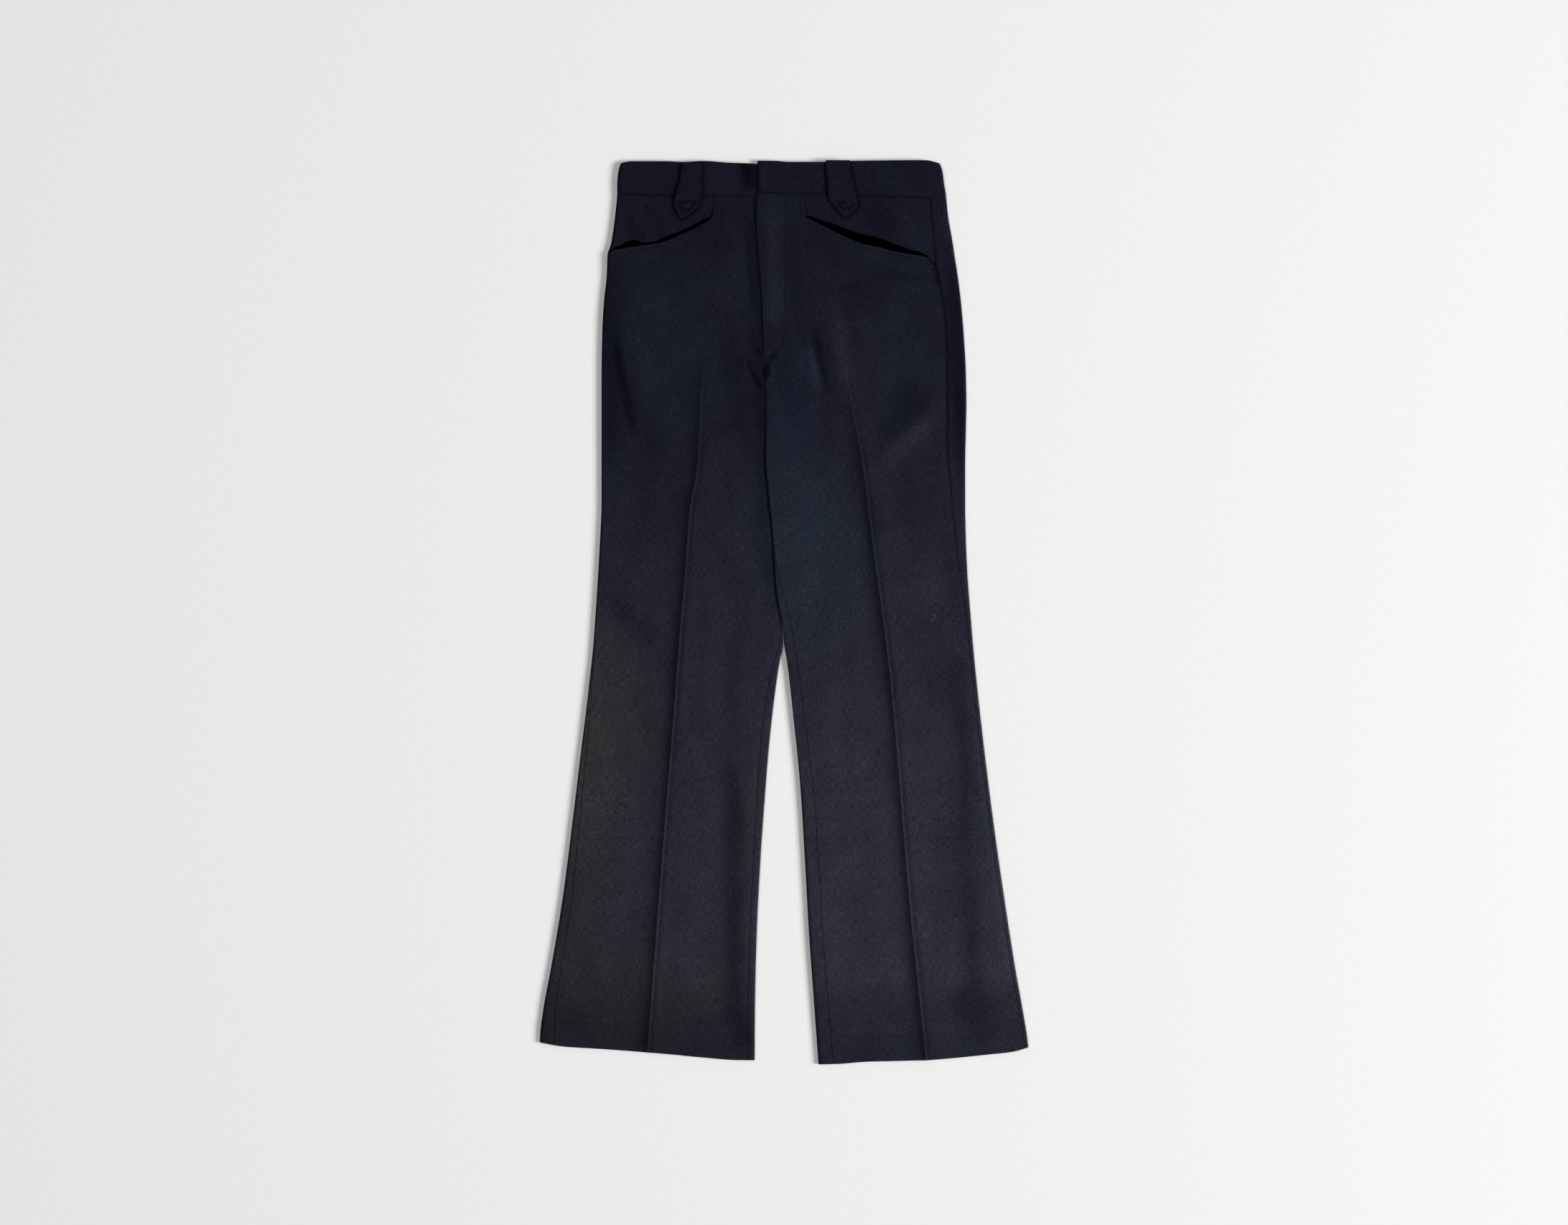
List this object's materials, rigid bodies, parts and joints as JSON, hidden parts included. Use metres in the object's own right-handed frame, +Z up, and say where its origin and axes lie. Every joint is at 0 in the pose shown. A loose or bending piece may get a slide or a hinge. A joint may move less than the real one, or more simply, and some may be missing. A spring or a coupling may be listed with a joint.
{
  "type": "bootcut trousers laid flat",
  "caption": "Bootcut suit trousers laid flat, front up: creased flared legs, fly, slanted front pockets with yokes, waistband and wide pointed belt loops.",
  "frame": {"origin": "centre of the garment's flat footprint, on the surface that it lies on", "axes": "+Z up out of the front of the garment, +Y from the hems to the waist, +X towards the wearer's left leg"},
  "size_m": [0.5777, 1.069, 0.0094],
  "materials": {
    "suiting": "fine black twill suiting with a slight blue cast, matt, pressed",
    "waistband_suiting": "the same twill, two layers over a stiffener, topstitched",
    "loop_suiting": "the same twill, folded to a stiff strip with stitched edges",
    "pocket_cloth": "plain black pocket cloth, dull"
  },
  "bodies": {
    "root": {"back_left": "suiting", "back_right": "suiting", "front_left": "suiting", "front_right": "suiting", "pocket_yoke_left": "suiting", "pocket_yoke_right": "suiting", "waistband_left": "waistband_suiting", "waistband_right": "waistband_suiting", "belt_loop_front_left": "loop_suiting", "belt_loop_front_right": "loop_suiting", "belt_loop_back_left": "loop_suiting", "belt_loop_back_centre": "loop_suiting", "belt_loop_back_right": "loop_suiting", "pocketing_left": "pocket_cloth", "pocketing_right": "pocket_cloth"}
  },
  "joints": []
}
